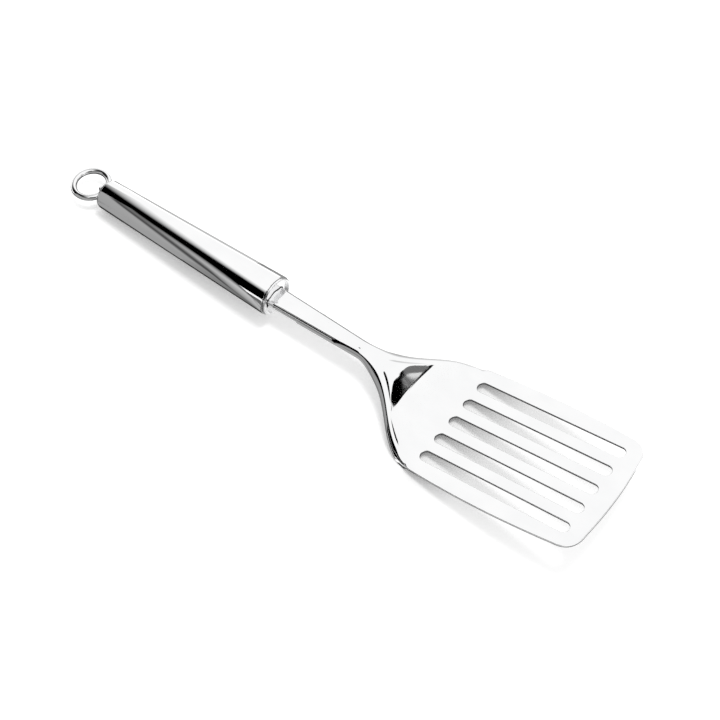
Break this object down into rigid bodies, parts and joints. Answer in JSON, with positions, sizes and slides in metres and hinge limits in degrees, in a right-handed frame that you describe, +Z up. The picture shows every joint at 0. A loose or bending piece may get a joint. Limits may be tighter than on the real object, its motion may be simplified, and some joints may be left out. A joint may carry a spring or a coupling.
{
  "type": "slotted turner",
  "caption": "Polished steel kitchen turner: a slotted blade with a flared neck and channel stem, a tapered hollow handle with end caps, and a swinging hanging ring.",
  "frame": {"origin": "on the table, under the middle of the turner's bounding box, as the turner lies at rest with its blade's tip raised", "axes": "+X along the turner towards the blade's front edge, +Y across it, +Z up from the table"},
  "size_m": [0.3558, 0.075, 0.0261],
  "materials": {
    "polished_steel": "mirror-polished stainless steel",
    "satin_steel": "finely brushed stainless steel"
  },
  "bodies": {
    "turner": {"turner_head": "polished_steel", "handle_tube": "polished_steel", "front_cap": "satin_steel", "rear_cap": "satin_steel", "ring_eye": "satin_steel"},
    "ring": {"hanging_ring": "polished_steel"}
  },
  "joints": [
    {"name": "ring_swing", "type": "hinge", "parent": "turner", "child": "ring", "pos_m": [-0.1562, 0, 0.0085], "axis": [0, 1, 0], "range_deg": [-90, 90]}
  ]
}
